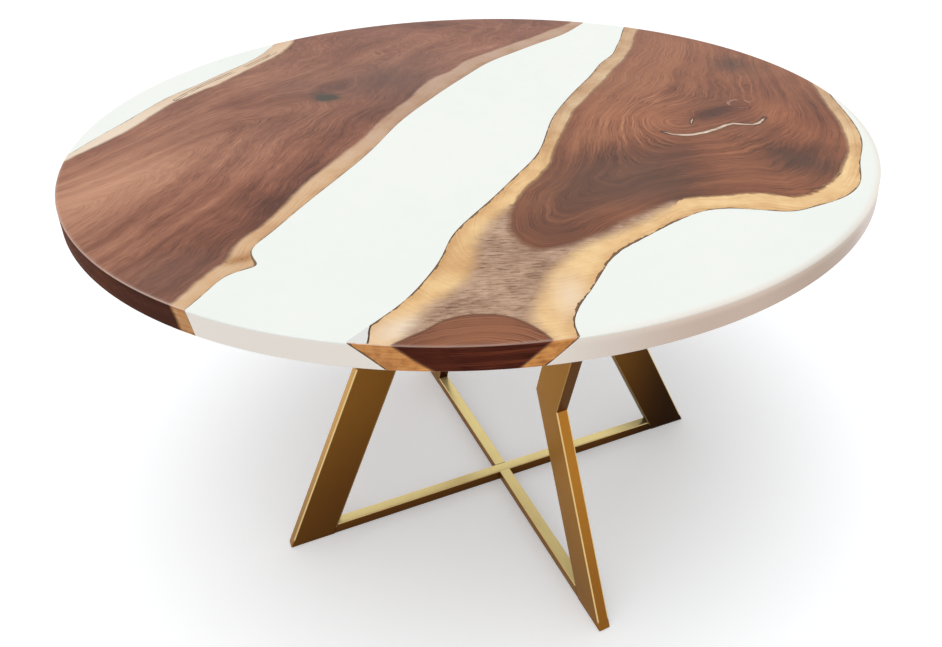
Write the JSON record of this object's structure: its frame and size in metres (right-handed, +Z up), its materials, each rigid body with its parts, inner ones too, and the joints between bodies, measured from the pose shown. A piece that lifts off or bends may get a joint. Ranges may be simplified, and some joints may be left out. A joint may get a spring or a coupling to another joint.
{
  "type": "live edge dining table",
  "caption": "Round dining table: live edge walnut slabs cast in white resin, on a gold base of crossed hourglass frames.",
  "frame": {"origin": "on the floor under the middle of the round top", "axes": "+Z up, -Y towards the front rim where the right slab narrows to a tail, +X to the right seen from there"},
  "size_m": [1.22, 1.22, 0.746],
  "materials": {
    "walnut": "satin",
    "resin": "satin gloss",
    "crack_resin": "pearl",
    "gold_steel": "satin gold",
    "steel": "zinc plated",
    "brass_insert": "turned",
    "pad_rubber": "matte"
  },
  "bodies": {
    "root": {"left_slab": "walnut", "right_slab": "walnut", "left_resin": "resin", "river_resin": "resin", "right_resin": "resin", "crack_fill": "crack_resin", "front_channel": "steel", "back_channel": "steel", "channel_screws": "steel", "channel_inserts": "brass_insert", "lower_leg_back_right": "gold_steel", "lower_leg_back_left": "gold_steel", "lower_leg_front_left": "gold_steel", "lower_leg_front_right": "gold_steel", "upper_leg_back_right": "gold_steel", "upper_leg_back_left": "gold_steel", "upper_leg_front_left": "gold_steel", "upper_leg_front_right": "gold_steel", "mounting_plate_back_right": "gold_steel", "mounting_plate_back_left": "gold_steel", "mounting_plate_front_left": "gold_steel", "mounting_plate_front_right": "gold_steel", "long_floor_rail": "gold_steel", "back_floor_rail": "gold_steel", "front_floor_rail": "gold_steel", "long_top_rail": "gold_steel", "back_top_rail": "gold_steel", "front_top_rail": "gold_steel", "foot_caps": "gold_steel", "foot_pads": "pad_rubber", "plate_bolts": "steel", "plate_washers": "steel", "plate_inserts": "brass_insert"}
  },
  "joints": []
}
